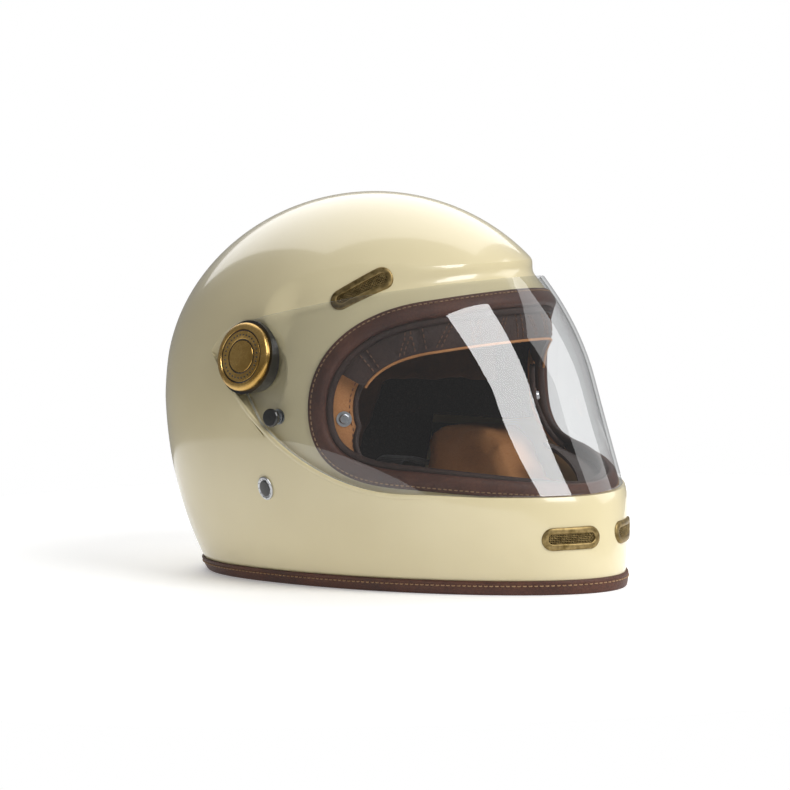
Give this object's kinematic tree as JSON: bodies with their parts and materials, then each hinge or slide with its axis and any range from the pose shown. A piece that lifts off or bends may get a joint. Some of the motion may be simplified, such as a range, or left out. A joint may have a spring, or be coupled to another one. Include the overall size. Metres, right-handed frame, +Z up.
{
  "type": "full face motorcycle helmet",
  "caption": "Retro full-face motorcycle helmet: cream shell, leather-trimmed eyeport and rim, clear flip-up visor on brass pivots, vents, padded lining and D-ring chin strap.",
  "frame": {"origin": "middle of the footprint's bounding box, on the surface that the rim stands on", "axes": "+Z up through the crown, -Y towards the face, +X towards the wearer's left"},
  "size_m": [0.2656, 0.3426, 0.2545],
  "materials": {
    "shell_gloss": "glossy cream lacquer over a moulded shell",
    "foam_liner": "matte expanded foam",
    "dark_leather": "dark brown quilted leather",
    "tan_leather": "tan leather",
    "brown_leather": "dark brown leather with tan stitching",
    "visor_clear": "clear hard-coated sheet",
    "steel": "satin",
    "black_plastic": "gloss black",
    "polished_brass": "turned, lightly polished",
    "aged_brass": "dull, darkened",
    "webbing": "woven webbing"
  },
  "bodies": {
    "helmet": {"outer_shell": "shell_gloss", "foam_crown_liner": "foam_liner", "foam_chin_liner": "foam_liner", "crown_comfort_liner": "dark_leather", "brow_lining": "dark_leather", "chin_lining": "dark_leather", "side_lining_left": "tan_leather", "side_lining_right": "tan_leather", "lining_snaps": "steel", "cheek_pad_left": "tan_leather", "cheek_pad_right": "tan_leather", "neck_roll": "dark_leather", "eyeport_trim": "brown_leather", "rim_trim": "brown_leather", "catch_magnet": "steel", "pivot_bush_left": "black_plastic", "pivot_bush_right": "black_plastic", "pivot_screw_left": "steel", "pivot_screw_right": "steel", "pivot_insert_left": "polished_brass", "pivot_insert_right": "polished_brass", "base_ring_left": "black_plastic", "base_ring_right": "black_plastic", "pivot_cap_left": "polished_brass", "pivot_cap_right": "polished_brass", "brow_vent_frame_left": "aged_brass", "brow_vent_frame_right": "aged_brass", "brow_vent_mesh_left": "aged_brass", "brow_vent_mesh_right": "aged_brass", "chin_vent_frame_left": "aged_brass", "chin_vent_frame_right": "aged_brass", "chin_vent_mesh_left": "aged_brass", "chin_vent_mesh_right": "aged_brass", "side_badge": "aged_brass", "strap_left": "webbing", "strap_right": "webbing", "strap_anchors": "steel", "strap_end_snap": "steel"},
    "visor_assembly": {"visor": "visor_clear", "visor_eyelet_left": "steel", "visor_eyelet_right": "steel", "lift_knob": "black_plastic", "knob_rivet": "steel"},
    "outer_ring": {"d_ring_outer": "steel"},
    "inner_ring": {"d_ring_inner": "steel"}
  },
  "joints": [
    {"name": "visor_hinge", "type": "hinge", "parent": "helmet", "child": "visor_assembly", "pos_m": [0, 0.0313, 0.152], "axis": [-1, 0, 0], "range_deg": [0, 60]},
    {"name": "outer_ring_hinge", "type": "hinge", "parent": "helmet", "child": "outer_ring", "pos_m": [0.05, 0.0693, 0.04], "axis": [0, 1, 0], "range_deg": [0, 75]},
    {"name": "inner_ring_hinge", "type": "hinge", "parent": "outer_ring", "child": "inner_ring", "pos_m": [0.05, 0.0693, 0.04], "axis": [0, 1, 0], "range_deg": [0, 30]}
  ]
}
